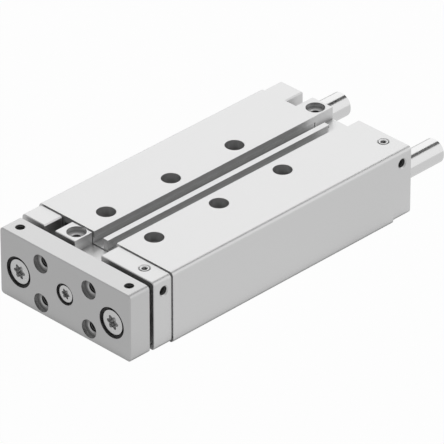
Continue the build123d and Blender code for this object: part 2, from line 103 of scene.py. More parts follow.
def turned_shell(rows, columns):
    """Closed shell round the Z axis from (radius, height) rows, closed at both ends by a point on the axis.

    A radius is a number, or an array of one radius for each of the columns.
    """
    radii = np.stack([np.broadcast_to(radius, columns) for radius, _ in rows])
    heights = np.array([height for _, height in rows])
    ring_points = polar_grid(radii, heights).reshape(-1, 3)
    quads = grid_quads(len(rows), columns)
    first, last = len(ring_points), len(ring_points) + 1
    points = np.vstack([ring_points, [[0, 0, heights[0]], [0, 0, heights[-1]]]])
    index = np.arange(columns)
    beside = (index + 1) % columns
    end = (len(rows) - 1) * columns
    start_fan = np.stack([np.full(columns, first), beside, index], axis=-1)
    end_fan = np.stack([np.full(columns, last), end + index, end + beside], axis=-1)
    return points, quads.tolist() + start_fan.tolist() + end_fan.tolist()


def placed(points, origin, along):
    """The points turned so that their Z axis points along the given axis, then moved to origin."""
    turn = np.array(Vector(along).to_track_quat("Z", "Y").to_matrix())
    return points @ turn.T + np.asarray(origin)


def make_piece(name, shells, material, body, crease=32):
    """One mesh object from (points, faces) shells, smooth except at edges sharper than crease degrees."""
    points = np.vstack([shell[0] for shell in shells])
    faces = []
    start = 0
    for shell_points, shell_faces in shells:
        faces += [[start + corner for corner in face] for face in shell_faces]
        start += len(shell_points)
    mesh = bpy.data.meshes.new(name)
    mesh.from_pydata(points.tolist(), [], faces)
    mesh.validate()
    mesh.shade_smooth()
    mesh.set_sharp_from_angle(angle=math.radians(crease))
    mesh.materials.append(material)
    piece = bpy.data.objects.new(name, mesh)
    bpy.context.scene.collection.objects.link(piece)
    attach(piece, body)
    return piece


def star_outline(size, columns):
    """Radius at each angle of a six-lobed recess that is size wide across its lobes.

    At angle a it lies between the inner and the outer radius by ((1 + cos 6a) / 2) ** fullness.
    """
    inner_share, fullness = 0.34, 0.8
    angles = np.linspace(0, 2 * np.pi, columns, endpoint=False)
    outer, inner = size / 2, size * inner_share
    lobe = (1 + np.cos(6 * angles)) / 2
    return inner + (outer - inner) * lobe**fullness


def hexagon_outline(size, columns):
    """Radius at each angle of a hexagon that is size wide across its flats.

    It is half of size over the cosine of the angle from the middle of the nearest flat.
    """
    angles = np.linspace(0, 2 * np.pi, columns, endpoint=False)
    return size / 2 / np.cos((angles % (np.pi / 3)) - np.pi / 6)


def knurled_outline(radius, depth, teeth, columns):
    """Radius at each angle of a straight knurl: radius less a triangle wave of that depth and teeth."""
    angles = np.linspace(0, 2 * np.pi, columns, endpoint=False)
    wave = np.abs((angles * teeth / (2 * np.pi)) % 1 * 2 - 1)
    return radius - depth * wave


def screw_rows(socket, socket_depth, head, head_length, shank, shank_length, bevel):
    """Rows of a screw with its head's top at height 0: socket floor, socket wall, top, side, shank and tip.

    socket and head are radii for each angle, the rest are numbers.
    """
    lead = 0.15 * MM
    floor_drop = 0.3 * MM
    return [
        (socket / 2, -socket_depth - floor_drop),
        (socket, -socket_depth),
        (socket, -lead),
        (socket + lead / 2, 0),
        (head - bevel, 0),
        (head - bevel * 0.3, -bevel * 0.3),
        (head, -bevel),
        (head, -head_length + lead),
        (head - lead, -head_length),
        (shank, -head_length),
        (shank, -head_length - shank_length + 2 * lead),
        (shank - 2 * lead, -head_length - shank_length),
    ]


def thread_ring(radius, pitch, length, depth, columns, steps):
    """Closed ring with an inner thread, round Z from height 0 down.

    At angle a and depth h its inner wall stands in from radius by a flat-topped triangle wave of
    h / pitch less a turn for each full angle, which fades out at both ends. Its outer wall is plain.
    """
    wall = 0.02 * MM
    crest, slope, run_out = 1.35, 1.9, 0.8
    rows = int(round(length / pitch * steps)) + 1
    heights = np.linspace(0, -length, rows)
    angles = np.linspace(0, 2 * np.pi, columns, endpoint=False)
    phase = (-heights[:, None] / pitch - angles[None, :] / (2 * np.pi)) % 1
    wave = np.clip(crest - np.abs(phase * 2 - 1) * slope, 0, 1)
    fade = np.clip(np.minimum(-heights, length + heights) / (pitch * run_out), 0, 1)
    inner = radius - wall - depth * wave * fade[:, None]
    outer = np.full((2, columns), radius)
    points = polar_grid(np.vstack([inner, outer]), np.append(heights, [-length, 0]))
    quads = grid_quads(rows + 3, columns) % ((rows + 2) * columns)
    return points.reshape(-1, 3), quads[:, ::-1].tolist()


# Finishes

# Where nearly all values of Blender's noise lie
NOISE_RANGE = (0.3, 0.7)
# The lay of a grain that runs no way more than another
EVEN = (1, 1, 1)


def new_material(name, colour, metallic, roughness):
    """A material with a principled shader whose plain values sit on its own sockets."""
    material = bpy.data.materials.new(name)
    material.use_nodes = True
    shader = material.node_tree.nodes["Principled BSDF"]
    shader.inputs["Base Color"].default_value = (*colour, 1)
    shader.inputs["Metallic"].default_value = metallic
    shader.inputs["Roughness"].default_value = roughness
    return material, shader


def add_node(material, kind, sockets=None, links=None, **properties):
    """Adds a node to the material with its socket values, its links from other sockets and its properties."""
    tree = material.node_tree
    node = tree.nodes.new(kind)
    for name, value in properties.items():
        setattr(node, name, value)
    for name, value in (sockets or {}).items():
        node.inputs[name].default_value = value
    for name, source in (links or {}).items():
        tree.links.new(source, node.inputs[name])
    return node


def grain(material, shader, colour, size, lay, spread, bump):
    """Colour and bump from one noise, whose spots are size metres wide and are stretched along the lay.

    spread is how far the colour swings to either side, bump the height of the grain in metres.
    """
    low, high = NOISE_RANGE
    place = add_node(material, "ShaderNodeTexCoord")
    stretched = add_node(
        material, "ShaderNodeMapping", {"Scale": lay}, {"Vector": place.outputs["Object"]}
    )
    noise = add_node(
        material,
        "ShaderNodeTexNoise",
        {"Scale": 1 / size, "Detail": 4.0, "Roughness": 0.6},
        {"Vector": stretched.outputs["Vector"]},
    )
    ramp = add_node(material, "ShaderNodeValToRGB", {}, {"Fac": noise.outputs["Fac"]})
    ramp.color_ramp.elements[0].position = low
    ramp.color_ramp.elements[1].position = high
    ramp.color_ramp.elements[0].color = (*[c * (1 - spread) for c in colour], 1)
    ramp.color_ramp.elements[1].color = (*[min(1, c * (1 + spread)) for c in colour], 1)
    relief = add_node(
        material,
        "ShaderNodeBump",
        {"Strength": 1.0, "Distance": bump},
        {"Height": noise.outputs["Fac"]},
    )
    links = material.node_tree.links
    links.new(ramp.outputs["Color"], shader.inputs["Base Color"])
    links.new(relief.outputs["Normal"], shader.inputs["Normal"])
    return noise


def vary_roughness(material, shader, noise, smooth, rough):
    """Roughness between smooth and rough from the same noise as the grain."""
    low, high = NOISE_RANGE
    spread = add_node(
        material,
        "ShaderNodeMapRange",
        {"From Min": low, "From Max": high, "To Min": smooth, "To Max": rough},
        {"Value": noise.outputs["Fac"]},
    )
    material.node_tree.links.new(spread.outputs["Result"], shader.inputs["Roughness"])


def multiply_colour(material, shader, factor):
    """Multiplies what colours the shader by a factor from another node."""
    colour = shader.inputs["Base Color"].links[0].from_socket
    product = add_node(
        material, "ShaderNodeVectorMath", {}, {0: colour, 1: factor}, operation="MULTIPLY"
    )
    material.node_tree.links.new(product.outputs["Vector"], shader.inputs["Base Color"])


def size_along_y(material, coordinates):
    """How far the object's own coordinates, or its normal, reach along Y to either side."""
    place = add_node(material, "ShaderNodeTexCoord")
    parts = add_node(
        material, "ShaderNodeSeparateXYZ", {}, {"Vector": place.outputs[coordinates]}
    )
    size = add_node(
        material, "ShaderNodeMath", {}, {0: parts.outputs["Y"]}, operation="ABSOLUTE"
    )
    return size.outputs["Value"]


def paint_cavity_shade(material, shader, reach, grey):
    """Painted shade: multiplies the colour by grey where the piece's own walls stand close round, fading out
    over reach.
    """
    closed, open_sky = 0.2, 0.85
    openness = add_node(
        material, "ShaderNodeAmbientOcclusion", {"Distance": reach}, samples=8, only_local=True
    )
    shade = add_node(
        material,
        "ShaderNodeMapRange",
        {"From Min": closed, "From Max": open_sky, "To Min": grey, "To Max": 1.0},
        {"Value": openness.outputs["AO"]},
    )
    multiply_colour(material, shader, shade.outputs["Result"])


def paint_seam_shade(material, shader, start, width, grey):
    """Painted shade: multiplies the colour by grey at start metres to either side along Y, fading out over
    width.
    """
    shade = add_node(
        material,
        "ShaderNodeMapRange",
        {"From Min": start, "From Max": start + width, "To Min": grey, "To Max": 1.0},
        {"Value": size_along_y(material, "Object")},
    )
    multiply_colour(material, shader, shade.outputs["Result"])


def paint_side_shade(material, shader, reach, grey):
    """Painted shade: multiplies the colour by grey on open faces that look across Y, the sides of a screw
    along Y.

    A face is open where no other wall of the piece stands within reach, so sockets keep their colour.
    """
    open_sky, walled = 0.97, 0.85
    side, end = 0.3, 0.6
    openness = add_node(
        material, "ShaderNodeAmbientOcclusion", {"Distance": reach}, samples=8, only_local=True
    )
    side_shade = add_node(
        material,
        "ShaderNodeMapRange",
        {"From Min": open_sky, "From Max": walled, "To Min": grey, "To Max": 1.0},
        {"Value": openness.outputs["AO"]},
    )
    shade = add_node(
        material,
        "ShaderNodeMapRange",
        {"From Min": side, "From Max": end, "To Max": 1.0},
        {"Value": size_along_y(material, "Normal"), "To Min": side_shade.outputs["Result"]},
    )
    multiply_colour(material, shader, shade.outputs["Result"])


def anodised_aluminium(name, colour, grain_size, lay, spread, roughness):
    """Matt clear anodised aluminium: an etched metal under a clear oxide, pale, even and hardly shiny.

    lay stretches the grain along the direction in which the piece was extruded or milled. Bores,
    slots and pockets are painted darker: painted shade where the piece's own walls close round.
    """
    own = settings().finish
    material, shader = new_material(name, colour, 1.0, roughness)
    noise = grain(material, shader, colour, grain_size, lay, spread, bump=0.002 * MM)
    vary_roughness(material, shader, noise, roughness - 0.02, roughness + 0.02)
    paint_cavity_shade(material, shader, own.cavity_reach, own.cavity_shade_grey)
    return material, shader


def ground_steel(name, colour, line_size, lay, spread, roughness):
    """Hardened steel, ground and polished: a bright mirror with faint lines round the axis."""
    material, shader = new_material(name, colour, 1.0, roughness)
    noise = grain(material, shader, colour, line_size, lay, spread, bump=0.0003 * MM)
    vary_roughness(material, shader, noise, roughness * 0.8, roughness * 1.3)
    return material


def bright_metal(name, colour, spread, roughness):
    """Zinc plated or finely turned metal: bright, a little cloudy, with a fine even grain.

    Sockets are darker than the faces round them, because little light gets to their floors.
    """
    own = settings().finish
    material, shader = new_material(name, colour, 1.0, roughness)
    noise = grain(material, shader, colour, own.plating_grain, EVEN, spread, bump=0.005 * MM)
    vary_roughness(material, shader, noise, roughness - 0.05, roughness + 0.08)
    # Painted shade in the sockets
    paint_cavity_shade(material, shader, own.socket_reach, own.cavity_shade_grey)
    return material, shader


def moulded(name, colour, spread, roughness, grain_size):
    """Moulded rubber, plastic or pressed powder: matt, with a fine even grain from the mould.

    The real grain is under 0.1 mm and is drawn coarser, so that it shows.
    """
    material, shader = new_material(name, colour, 0.0, roughness)
    noise = grain(material, shader, colour, grain_size, EVEN, spread, bump=0.02 * MM)
    vary_roughness(material, shader, noise, roughness - 0.05, roughness + 0.05)
    return material


def sintered_bronze(name, colour, spread, roughness, grain_size):
    """Sintered bronze with oil in its pores: brown gold and speckled.

    The real pores are about 0.05 mm and are drawn coarser, so that they show.
    """
    material, shader = new_material(name, colour, 1.0, roughness)
    noise = grain(material, shader, colour, grain_size, EVEN, spread, bump=0.02 * MM)
    vary_roughness(material, shader, noise, roughness - 0.08, roughness + 0.12)
    return material


# Sizes and colours that a user would change


def length(name, description, default):
    """A length property, in metres, with a tenth of a millimetre showing in the panel."""
    return FloatProperty(
        name=name, description=description, default=default, unit="LENGTH", precision=4
    )


def level(name, description, default):
    """A plain number property that isn't negative."""
    return FloatProperty(name=name, description=description, default=default, min=0)


def colour(name, description, code):
    """A colour property whose default is an sRGB hex code."""
    return FloatVectorProperty(
        name=name, description=description, default=srgb(code), subtype="COLOR", min=0, max=1
    )


class FinishSettings(bpy.types.PropertyGroup):
    """Colours and grain of the metals, rubbers and plastics."""

    profile: colour("Housing", "Extruded, clear anodised housing", "#E7E7E7")
    cap: colour("End caps", "Milled, clear anodised end caps", "#E7E7E7")
    yoke: colour("Yoke plate", "Milled, clear anodised yoke plate", "#DCDCDC")
    # Partly the cut metal's own grey, partly painted shade of the holes' depth
    thread: colour("Threads", "Cut threads, dulled by their fine tool marks", "#8A8A8A")
    rod: colour("Rods", "Ground and polished rods", "#EAEAEA")
    screw: colour("Screws", "Zinc plated screws and plugs", "#EFEFEF")
    rubber: colour("Seals", "Moulded black rubber", "#1B1B1C")
    bronze: colour("Bushes", "Sintered bronze bushes", "#A8824E")
    piston: colour("Piston", "Turned aluminium piston halves", "#D0D1D2")
    magnet: colour("Magnet", "Sintered magnet", "#4A4A4D")
    guide_ring: colour("Guide ring", "Moulded wear ring", "#D8D5C8")
    bumper: colour("Bumpers", "Cast elastomer bumpers", "#3A4048")
    # The real lines and grains are 0.02 to 0.2 mm, too fine to show, so they are drawn coarser
    extrusion_line: length("Extrusion line", "Width of the lines along the housing", 0.9 * MM)
    milling_grain: length("Milling grain", "Grain of the milled and etched faces", 0.5 * MM)
    grinding_line: length("Grinding line", "Width of the lines round the rods", 0.4 * MM)
    thread_grain: length("Thread grain", "Grain of the cut threads", 0.4 * MM)
    plating_grain: length("Plating grain", "Grain of the plated and turned faces", 0.6 * MM)
    # Painted shade along the seam of the end caps and the housing: its width
    seam_shade_width: length("Seam line", "Width of the broken edge of the end caps", 0.4 * MM)
    # Painted shade in bores, slots and sockets: the share of colour left there and how near walls must stand
    cavity_shade_grey: level("Cavity grey", "Share of the colour left inside bores and slots", 0.28)
    cavity_reach: length("Cavity reach", "How near a wall darkens another", 5 * MM)
    socket_reach: length("Socket reach", "The same inside the sockets of screws", 2 * MM)
    side_reach: length("Side reach", "How far off walls must be from an open side", 8 * MM)
    # Painted shade along that seam: the share of the colour left there
    seam_shade_grey: level("Seam grey", "Share of the colour left at the end caps' edges", 0.72)
    # Painted shade on the screw heads' sides: the share of the colour left there
    side_shade_grey: level("Side grey", "Share of the colour left on screw heads' sides", 0.06)


class ScrewSettings(bpy.types.PropertyGroup):
    """Screws and plugs that are made in detail."""

    guide_head: length("Guide screw head", "Head diameter of the guide rod screws", 12.0 * MM)
    guide_head_length: length("Guide screw head length", "Head length", 4.9 * MM)
    guide_star: length("Guide screw recess", "Width of the six-lobed recess", 7.0 * MM)
    guide_star_depth: length("Guide screw recess depth", "Depth of the recess", 2.9 * MM)
    guide_shank: length("Guide screw shank", "Shank diameter", 6.0 * MM)
    guide_bevel: length("Guide screw bevel", "Bevel of the head", 0.5 * MM)
    rod_head: length("Piston rod screw head", "Head diameter of the piston rod screw", 8.3 * MM)
    rod_head_length: length("Piston rod screw head length", "Head length", 3.4 * MM)
    rod_star: length("Piston rod screw recess", "Width of the six-lobed recess", 4.9 * MM)
    rod_star_depth: length("Piston rod screw recess depth", "Depth of the recess", 2.0 * MM)
    rod_shank: length("Piston rod screw shank", "Shank diameter", 5.0 * MM)
    rod_bevel: length("Piston rod screw bevel", "Bevel of the head", 0.4 * MM)
    cap_head: length("Cap screw head", "Head diameter of the end cap screws", 5.5 * MM)
    cap_head_length: length("Cap screw head length", "Head length", 3.0 * MM)
    cap_socket: length("Cap screw socket", "Width across flats", 2.5 * MM)
    cap_socket_depth: length("Cap screw socket depth", "Depth of the socket", 1.4 * MM)
    cap_shank: length("Cap screw shank", "Shank diameter", 3.0 * MM)
    cap_bevel: length("Cap screw bevel", "Bevel of the head", 0.25 * MM)
    knurl_depth: length("Knurl depth", "Depth of the knurl on the cap screws", 0.09 * MM)
    knurl_teeth: IntProperty(
        name="Knurl teeth", description="Teeth round a cap screw's head", default=36, min=6
    )
    upper_cap_screw: length("Upper cap screws", "Distance from the middle", 17.6 * MM)
    plug: length("Plug", "Diameter of the port plugs", 5.0 * MM)
    plug_socket: length("Plug socket", "Width across flats of the port plugs", 2.5 * MM)
    plug_socket_depth: length("Plug socket depth", "Depth of the socket", 2.2 * MM)
    plug_rim: length("Plug rim", "Inner radius of the flat ring round the socket", 1.7 * MM)
    plug_rim_width: length("Plug rim width", "Width of the flat ring", 0.35 * MM)
    plug_rim_height: length("Plug rim height", "From the ring down to the threaded edge", 1.0 * MM)
    columns: IntProperty(
        name="Points round", description="Points round each screw", default=144, min=24
    )


class ThreadSettings(bpy.types.PropertyGroup):
    """Threads in the tapped holes."""

    small_pitch: length("M5 pitch", "Pitch of the small threads", 0.8 * MM)
    small_depth: length("M5 thread height", "How far the small threads stand in", 0.22 * MM)
    large_pitch: length("M6 pitch", "Pitch of the large threads", 1.0 * MM)
    large_depth: length("M6 thread height", "How far the large threads stand in", 0.28 * MM)
    housing_reach: length("Housing threads", "Length of the threads in the housing", 10 * MM)
    yoke_reach: length("Yoke threads", "Length of the threads through the yoke plate", 9.1 * MM)
    edge_reach: length("Edge threads", "Length of the threads in the yoke's top edge", 9 * MM)
    cap_reach: length("Cap threads", "Length of the threads in the end caps", 6 * MM)
    columns: IntProperty(
        name="Points round", description="Points round each thread", default=40, min=12
    )
    steps: IntProperty(
        name="Rows per turn", description="Rows of points in each turn", default=8, min=4
    )


class StudioSettings(bpy.types.PropertyGroup):
    """Camera, lamps and floor."""

    azimuth: FloatProperty(
        name="Azimuth",
        description="Camera angle round the object",
        default=math.radians(44.818),
        subtype="ANGLE",
    )
    elevation: FloatProperty(
        name="Elevation",
        description="Camera angle over the floor",
        default=math.radians(31.734),
        subtype="ANGLE",
    )
    distance: length("Distance", "Camera distance from the origin", 2.7625)
    right: length("Right", "Camera offset to its right", 1.82 * MM)
    up: length("Up", "Camera offset upwards", 11.40 * MM)
    focal_length: FloatProperty(
        name="Focal length", description="Lens, in millimetres on a 36 mm sensor", default=502.9
    )
    floor: colour("Floor", "Plain pale floor", "#F4F4F4")
    floor_size: length("Floor size", "Width and depth of the floor", 6.0)
    lamp_distance: length("Lamp distance", "From the origin to each softbox", 1.8)
    seen_white: level("Seen white", "Share of the floor's white that is its own", 0.98)
    # Painted light in the floor's glow for reflections: greyer at the front left, lighter towards the lamps
    # at the rear right
    reflected_front: level("Reflected floor, front", "Brightness in reflections", 0.56)
    reflected_rear: level("Reflected floor, rear", "Brightness in reflections", 0.70)
    grey_end: FloatProperty(
        name="Grey end",
        description="How far to the rear right the floor reflects its front grey",
        default=-65 * MM,
        unit="LENGTH",
        precision=4,
    )
    white_start: FloatProperty(
        name="White start",
        description="How far to the rear right the floor first reflects its rear grey",
        default=-5 * MM,
        unit="LENGTH",
        precision=4,
    )
    # Painted shadow in the floor's glow for reflections, where walls stand near
    gap_reach: length("Gap reach", "How near a wall darkens the reflected floor", 4.5 * MM)
    reflected_sky: level("Reflected sky", "Brightness in reflections", 0.45)
    world_light: level("World light", "Strength of the light from all round", 0.04)
    rear_left: level("Rear left lamp", "Brightness, 1 is white", 0.59)
    rear_right: level("Rear right lamp", "Brightness, 1 is white", 0.45)


# Pieces


def settings():
    """The cylinder's own settings in the scene."""
    return bpy.context.scene.guided_cylinder


def dress(node, material):
    """Gives a node of the frame its finish."""
    slots = frame["nodes"][node].data.materials
    slots.clear()
    slots.append(material)


def node_middle(node):
    """Middle of a node's box, as an array."""
    low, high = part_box(node)
    return (np.array(low) + np.array(high)) / 2


class CYLINDER_OT_profile_finish(bpy.types.Operator):
    """Finishes the extruded housing"""

    bl_idname = "cylinder.profile_finish"
    bl_label = "Housing finish"

    def execute(self, context):
        own = settings().finish
        # Pale matt metal with faint lines that run the length of the extrusion
        metal, _ = anodised_aluminium(
            "extruded_anodised_aluminium",
            own.profile,
            own.extrusion_line,
            lay=(1, 0.02, 1),
            spread=0.006,
            roughness=0.38,
        )
        dress("housing", metal)
        return {"FINISHED"}


class CYLINDER_OT_milled_finish(bpy.types.Operator):
    """Finishes the milled end caps and the yoke plate"""

    bl_idname = "cylinder.milled_finish"
    bl_label = "Cap and yoke finish"

    def execute(self, context):
        own = settings().finish
        # The same pale matt metal without lines. The caps' edges are broken where they meet the
        # housing; the fine darker line there is painted shade of that seam.
        caps, shader = anodised_aluminium(
            "milled_anodised_aluminium",
            own.cap,
            own.milling_grain,
            lay=EVEN,
            spread=0.006,
            roughness=0.38,
        )
        paint_seam_shade(caps, shader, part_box("housing")[1].y, own.seam_shade_width, own.seam_shade_grey)
        for node in ("front_cap", "rear_cap"):
            dress(node, caps)
        # A plate cut from rolled stock, a little greyer and duller
        plate, _ = anodised_aluminium(
            "anodised_aluminium_plate",
            own.yoke,
            own.milling_grain,
            lay=EVEN,
            spread=0.008,
            roughness=0.40,
        )
        dress("yoke_plate", plate)
        return {"FINISHED"}


class CYLINDER_OT_rod_finish(bpy.types.Operator):
    """Finishes the guide rods and the piston rod"""

    bl_idname = "cylinder.rod_finish"
    bl_label = "Rod finish"

    def execute(self, context):
        own = settings().finish
        # A mirror, softened by lines round the rods, with white and black bands along them
        steel = ground_steel(
            "ground_rod_steel",
            own.rod,
            own.grinding_line,
            lay=(0.1, 1, 0.1),
            spread=0.01,
            roughness=0.16,
        )
        for node in ("guide_rod_left", "guide_rod_right", "piston_rod"):
            dress(node, steel)
        return {"FINISHED"}


class CYLINDER_OT_inner_finish(bpy.types.Operator):
    """Finishes the bushes, seals, bumpers and the piston"""

    bl_idname = "cylinder.inner_finish"
    bl_label = "Inner finishes"

    def execute(self, context):
        own = settings().finish
        # Black and dull, so the rods' openings read as dark rings
        rubber = moulded(
            "moulded_nitrile_rubber", own.rubber, spread=0.15, roughness=0.6, grain_size=0.4 * MM
        )
        # Brown gold with dark specks where the pores are
        bronze = sintered_bronze(
            "sintered_bronze", own.bronze, spread=0.12, roughness=0.42, grain_size=0.35 * MM
        )
        # Bare light metal, shinier than the anodised pieces
        turned, _ = bright_metal("turned_aluminium", own.piston, spread=0.03, roughness=0.3)
        # Dark grey pressed powder with a dull skin
        magnet = moulded(
            "sintered_ferrite", own.magnet, spread=0.1, roughness=0.55, grain_size=0.5 * MM
        )
        # Ivory plastic with a soft sheen
        plastic = moulded(
            "moulded_acetal", own.guide_ring, spread=0.02, roughness=0.4, grain_size=0.5 * MM
        )
        # Blue grey, rubbery, with a slight sheen
        bumper = moulded(
            "cast_polyurethane", own.bumper, spread=0.06, roughness=0.5, grain_size=0.8 * MM
        )
        for node in frame["nodes"]:
            if "seal" in node or "wiper" in node:
                dress(node, rubber)
            elif "bush" in node:
                dress(node, bronze)
            elif "bumper" in node:
                dress(node, bumper)
        for node in ("piston_front_half", "piston_rear_half"):
            dress(node, turned)
        dress("piston_magnet", magnet)
        dress("piston_guide_ring", plastic)
        return {"FINISHED"}


def screw_shell(rows, columns, origin, along):
    """A screw's closed shell from its rows, its head's top at origin and facing along."""
    points, faces = turned_shell(rows, columns)
    return placed(points, origin, along), faces


class CYLINDER_OT_rod_screws(bpy.types.Operator):
    """Makes the star-socket screws that hold the three rods to the yoke plate"""

    bl_idname = "cylinder.rod_screws"
    bl_label = "Rod screws"

    def execute(self, context):
        own = settings().screws
        finish = settings().finish
        forward = (0, -1, 0)
        # Bright zinc. The heads' sides are painted dark: painted shade of the narrow gap round them.
        steel, shader = bright_metal(
            "zinc_plated_steel", finish.screw, spread=0.03, roughness=0.26
        )
        paint_side_shade(steel, shader, finish.side_reach, finish.side_shade_grey)

        low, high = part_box("guide_rod_screws")
        rows = screw_rows(
            socket=star_outline(own.guide_star, own.columns),
            socket_depth=own.guide_star_depth,
            head=own.guide_head / 2,
            head_length=own.guide_head_length,
            shank=own.guide_shank / 2,
            shank_length=high.y - low.y - own.guide_head_length,
            bevel=own.guide_bevel,
        )
        height = (low.z + high.z) / 2
        shells = [
            screw_shell(rows, own.columns, (node_middle(rod)[0], low.y, height), forward)
            for rod in ("guide_rod_left", "guide_rod_right")
        ]
        piece = make_piece("guide_rod_screws_detailed", shells, steel, "carriage")
        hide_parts("guide_rod_screws")

        low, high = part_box("piston_rod_screw")
        rows = screw_rows(
            socket=star_outline(own.rod_star, own.columns),
            socket_depth=own.rod_star_depth,
            head=own.rod_head / 2,
            head_length=own.rod_head_length,
            shank=own.rod_shank / 2,
            shank_length=high.y - low.y - own.rod_head_length,
            bevel=own.rod_bevel,
        )
        height = (low.z + high.z) / 2
        shell = screw_shell(rows, own.columns, (0, low.y, height), forward)
        piece = make_piece("piston_rod_screw_detailed", [shell], steel, "carriage")
        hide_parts("piston_rod_screw")
        return {"FINISHED"}


class CYLINDER_OT_cap_screws(bpy.types.Operator):
    """Makes the knurled socket screws of both end caps"""

    bl_idname = "cylinder.cap_screws"
    bl_label = "End cap screws"

    def execute(self, context):
        own = settings().screws
        # Bright zinc, a little duller than the rod screws
        steel, _ = bright_metal(
            "zinc_plated_socket_screw", settings().finish.screw, spread=0.04, roughness=0.32
        )
        for node, along in (("front_cap_screws", (0, -1, 0)), ("rear_cap_screws", (0, 1, 0))):
            low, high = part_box(node)
            top = low.y if along[1] < 0 else high.y
            edge = own.cap_head / 2
            rows = screw_rows(
                socket=hexagon_outline(own.cap_socket, own.columns),
                socket_depth=own.cap_socket_depth,
                head=knurled_outline(edge, own.knurl_depth, own.knurl_teeth, own.columns),
                head_length=own.cap_head_length,
                shank=own.cap_shank / 2,
                shank_length=high.y - low.y - own.cap_head_length,
                bevel=own.cap_bevel,
            )
            places = [(own.upper_cap_screw, high.z - edge), (high.x - edge, low.z + edge)]
            shells = [
                screw_shell(rows, own.columns, (side * x, top, z), along)
                for x, z in places
                for side in (-1, 1)
            ]
            piece = make_piece(node + "_detailed", shells, steel, "housing")
            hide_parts(node)
        return {"FINISHED"}


class CYLINDER_OT_port_plugs(bpy.types.Operator):
    """Makes the threaded plugs of the upper air ports"""

    bl_idname = "cylinder.port_plugs"
    bl_label = "Port plugs"

    def execute(self, context):
        own = settings().screws
        # Bright zinc, which shows as two light rings with a dark groove between them
        steel, _ = bright_metal(
            "zinc_plated_plug", settings().finish.screw, spread=0.03, roughness=0.3
        )
        low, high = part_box("port_plugs")
        radius = own.plug / 2
        depth = high.z - low.z
        socket = hexagon_outline(own.plug_socket, own.columns)
        edge, bevel = 0.05 * MM, 0.5 * MM
        floor_drop, countersink = 0.3 * MM, 0.35 * MM
        groove = own.plug_rim + own.plug_rim_width
        rows = [
            (socket / 2, -own.plug_socket_depth - floor_drop),
            (socket, -own.plug_socket_depth),
            (socket, -countersink),
            (own.plug_rim - edge, -edge),
            (own.plug_rim, 0),
            (groove, 0),
            (groove + edge, -edge),
            (groove + 2 * edge, -own.plug_rim_height + 2 * edge),
            (radius, -own.plug_rim_height),
            (radius, -depth + bevel),
            (radius - bevel, -depth),
        ]
        points, faces = turned_shell(rows, own.columns)
        shells = [
            (points + np.array(((low.x + high.x) / 2, y, high.z)), faces)
            for y in (low.y + radius, high.y - radius)
        ]
        piece = make_piece("port_plugs_detailed", shells, steel, "housing")
        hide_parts("port_plugs")
        return {"FINISHED"}


def hole_mouths(mount):
    """Where the wall of each hole of a mount begins, from the record's pattern sizes or length."""
    middle, axis, size = np.array(mount["pos_m"]), np.array(mount["axis"]), mount["dims"]
    if "length_mm" in size:
        return [middle + axis * size["length_mm"] * MM / 2]
    across = np.array((1.0, 0, 0)) * size.get("spacing_x_mm", 0) * MM / 2
    along = np.array((0, 1.0, 0) if axis[2] else (0, 0, 1.0)) * size.get("spacing_y_mm", 0) * MM / 2
    corners = [middle + i * across + j * along for i in (-1, 1) for j in (-1, 1)]
    return np.unique(np.round(corners, 7), axis=0)


class CYLINDER_OT_threads(bpy.types.Operator):
    """Cuts the look of a thread into each tapped hole"""

    bl_idname = "cylinder.threads"
    bl_label = "Threads"

    def execute(self, context):
        own = settings().threads
        finish = settings().finish
        clearance = 0.01 * MM
        # Cut metal in the depth of a hole: its grey is partly the bare metal's own and partly
        # painted shade of the hole's depth, with a lighter line on each turn
        cut, _ = anodised_aluminium(
            "cut_thread", finish.thread, finish.thread_grain, lay=EVEN, spread=0.02, roughness=0.4
        )
        small = (own.small_pitch, own.small_depth)
        large = (own.large_pitch, own.large_depth)
        mounts = {mount["name"]: mount for mount in frame["record"]["mounts"]}
        housing_holes = ("top_pattern", "top_pair_rear", "base_pattern", "base_pair_rear")
        cap_holes = ("cap_pair", "port_front", "port_rear")
        groups = (
            ("housing_threads", "housing", "profile", large, own.housing_reach, housing_holes),
            ("yoke_front_threads", "carriage", "yoke", large, own.yoke_reach, ("yoke_pattern",)),
            ("yoke_top_threads", "carriage", "yoke", small, own.edge_reach, ("yoke_top_pair",)),
            ("cap_threads", "housing", "end_caps", small, own.cap_reach, cap_holes),
        )
        for name, body, slot, (pitch, depth), reach, names in groups:
            shells = []
            for mount in (mounts[each] for each in names):
                size = mount["dims"]
                radius = size.get("hole_r_mm", size.get("r_mm")) * MM - clearance
                points, faces = thread_ring(radius, pitch, reach, depth, own.columns, own.steps)
                for mouth in hole_mouths(mount):
                    shells.append((placed(points, mouth, mount["axis"]), faces))
            piece = make_piece(name, shells, cut, body, crease=60)
        return {"FINISHED"}


# Studio


def direction(azimuth, elevation):
    """Unit vector from the origin: azimuth 0 is -Y, 90 degrees +X; elevation is over the floor."""
    return Vector(
        (
            math.sin(azimuth) * math.cos(elevation),
            -math.cos(azimuth) * math.cos(elevation),
            math.sin(elevation),
        )
    )


def softbox(name, azimuth, elevation, width, height, brightness):
    """A soft rectangular lamp that faces the object; at brightness 1 its face looks white.

    The angles are in degrees, as in direction.
    """
    lamp = bpy.data.lights.new(name, "AREA")
    lamp.shape = "RECTANGLE"
    lamp.size = width
    lamp.size_y = height
    lamp.energy = brightness * math.pi * width * height
    box = bpy.data.objects.new(name, lamp)
    towards = direction(math.radians(azimuth), math.radians(elevation))
    box.location = towards * settings().studio.lamp_distance
    box.rotation_euler = towards.to_track_quat("Z", "Y").to_euler()
    bpy.context.scene.collection.objects.link(box)


def stage_card(name, corners, material):
    """A flat four-cornered object of the studio."""
    mesh = bpy.data.meshes.new(name)
    mesh.from_pydata(corners, [], [(0, 1, 2, 3)])
    mesh.materials.append(material)
    card = bpy.data.objects.new(name, mesh)
    bpy.context.scene.collection.objects.link(card)
    return card


